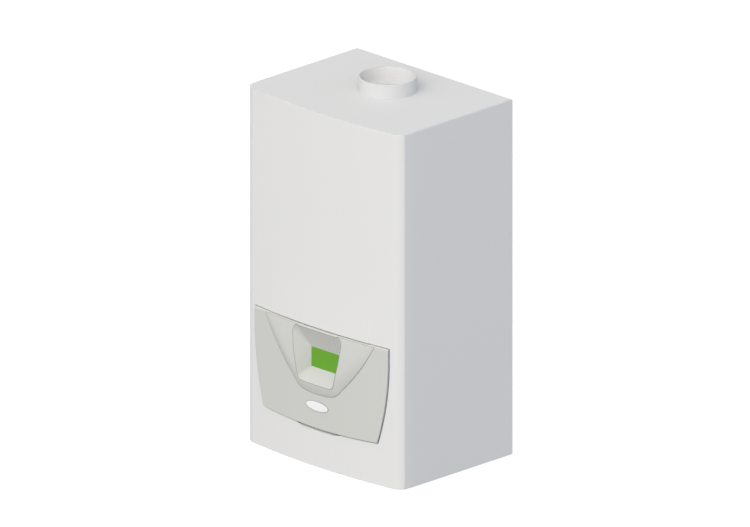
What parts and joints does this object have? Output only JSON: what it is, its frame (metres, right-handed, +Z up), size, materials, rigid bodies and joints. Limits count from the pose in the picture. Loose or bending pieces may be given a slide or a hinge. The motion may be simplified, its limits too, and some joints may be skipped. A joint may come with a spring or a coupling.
{
  "type": "wall-hung gas boiler",
  "caption": "Upright wall-hung gas boiler with a bowed white casing, a grey top-hung control door with a funnel window, and a round flue collar on its flat top.",
  "frame": {"origin": "on the wall plane, midway between the two screw holes of the wall bracket", "axes": "+Z up, +Y into the wall, front faces -Y"},
  "size_m": [0.4, 0.3095, 0.739],
  "materials": {
    "casing_paint": "smooth satin white paint",
    "top_paint": "smooth satin white paint",
    "collar_paint": "satin white paint",
    "door_plastic": "fine matt light grey",
    "badge_plastic": "smooth white",
    "screen": "smooth green display",
    "display_frame": "matt dark grey",
    "galvanised": "spangled zinc",
    "spring_steel": "plain spring steel",
    "zinc_screw": "zinc plated",
    "flue_plastic": "matt white flue plastic",
    "sump_plastic": "matt dark grey",
    "cast_aluminium": "as-cast aluminium",
    "burner_steel": "stainless sheet",
    "gasket": "flat black gasket",
    "ceramic": "unglazed white ceramic",
    "black_plastic": "matt black",
    "motor_steel": "plain steel can",
    "motor_paint": "dark paint",
    "wheel_plastic": "matt grey",
    "copper": "drawn copper",
    "brass": "machined brass",
    "vessel_paint": "red paint",
    "knob_plastic": "red plastic",
    "control_plastic": "matt dark grey",
    "board": "green circuit board",
    "gauge_plastic": "white dial in a grey case",
    "gauge_glass": "clear",
    "pointer": "matt black",
    "key_plastic": "light grey",
    "cable": "black sheath"
  },
  "bodies": {
    "chassis": {"air_vent": "brass", "back_panel": "galvanised", "base_plate": "galvanised", "burner": "burner_steel", "burner_hood": "cast_aluminium", "cable_loom": "cable", "casing_clips": "spring_steel", "chassis_screws": "zinc_screw", "condensate_sump": "sump_plastic", "condensate_trap": "sump_plastic", "connection_pipes": "copper", "control_board": "board", "control_box": "control_plastic", "control_fascia": "control_plastic", "discharge_pipe": "copper", "display_module": "display_frame", "display_screen": "screen", "diverter_actuator": "black_plastic", "diverter_valve": "brass", "expansion_vessel": "vessel_paint", "fan_housing": "black_plastic", "fan_motor": "motor_steel", "flow_pipe": "copper", "flue_collar": "collar_paint", "flue_pipe": "flue_plastic", "flue_socket": "flue_plastic", "gas_feed_pipe": "copper", "gas_supply_pipe": "copper", "gas_valve": "cast_aluminium", "gauge_case": "gauge_plastic", "gauge_glass": "gauge_glass", "hanger_hook": "galvanised", "heat_exchanger": "cast_aluminium", "hood_gasket": "gasket", "hood_nuts": "zinc_screw", "ignition_electrode": "ceramic", "plate_exchanger": "burner_steel", "pump_body": "brass", "pump_motor": "motor_paint", "pump_outlet_pipe": "copper", "relief_valve": "brass", "top_plate": "top_paint", "top_rails": "galvanised", "venturi": "black_plastic", "vessel_pipe": "copper", "wall_bracket": "galvanised"},
    "front_casing": {"front_casing": "casing_paint", "finger_scoop": "door_plastic"},
    "control_door": {"control_door": "door_plastic", "door_badge": "badge_plastic", "hinge_rod": "spring_steel"},
    "key_1": {"key_1": "key_plastic"},
    "key_2": {"key_2": "key_plastic"},
    "key_3": {"key_3": "key_plastic"},
    "key_4": {"key_4": "key_plastic"},
    "rocker": {"rocker": "black_plastic"},
    "gauge_pointer": {"gauge_pointer": "pointer"},
    "fan_rotor": {"fan_impeller": "wheel_plastic"},
    "pump_rotor": {"pump_impeller": "wheel_plastic"},
    "relief_knob": {"relief_knob": "knob_plastic"}
  },
  "joints": [
    {"name": "casing_slide", "type": "slide", "parent": "chassis", "child": "front_casing", "axis": [0, -1, 0], "range_m": [0, 0.33]},
    {"name": "door_hinge", "type": "hinge", "parent": "chassis", "child": "control_door", "pos_m": [0, -0.2985, -0.3365], "axis": [-1, 0, 0], "range_deg": [0, 70]},
    {"name": "key_1_press", "type": "slide", "parent": "chassis", "child": "key_1", "axis": [0, 1, 0], "range_m": [0, 0.0015], "stiffness_N_per_m": 800, "springref_m": -0.0005},
    {"name": "key_2_press", "type": "slide", "parent": "chassis", "child": "key_2", "axis": [0, 1, 0], "range_m": [0, 0.0015], "stiffness_N_per_m": 800, "springref_m": -0.0005},
    {"name": "key_3_press", "type": "slide", "parent": "chassis", "child": "key_3", "axis": [0, 1, 0], "range_m": [0, 0.0015], "stiffness_N_per_m": 800, "springref_m": -0.0005},
    {"name": "key_4_press", "type": "slide", "parent": "chassis", "child": "key_4", "axis": [0, 1, 0], "range_m": [0, 0.0015], "stiffness_N_per_m": 800, "springref_m": -0.0005},
    {"name": "rocker_tip", "type": "hinge", "parent": "chassis", "child": "rocker", "pos_m": [0.105, -0.278, -0.41], "axis": [1, 0, 0], "range_deg": [0, 16]},
    {"name": "gauge_turn", "type": "hinge", "parent": "chassis", "child": "gauge_pointer", "pos_m": [-0.105, -0.277, -0.41], "axis": [0, 1, 0], "range_deg": [-75, 195]},
    {"name": "fan_spin", "type": "hinge", "parent": "chassis", "child": "fan_rotor", "pos_m": [0.11, -0.215, 0.018], "axis": [0, 1, 0], "continuous": true},
    {"name": "pump_spin", "type": "hinge", "parent": "chassis", "child": "pump_rotor", "pos_m": [0.12, -0.085, -0.49], "axis": [0, 1, 0], "continuous": true},
    {"name": "relief_turn", "type": "hinge", "parent": "chassis", "child": "relief_knob", "pos_m": [0.152, -0.085, -0.402], "axis": [0, 0, 1], "range_deg": [0, 90]}
  ]
}
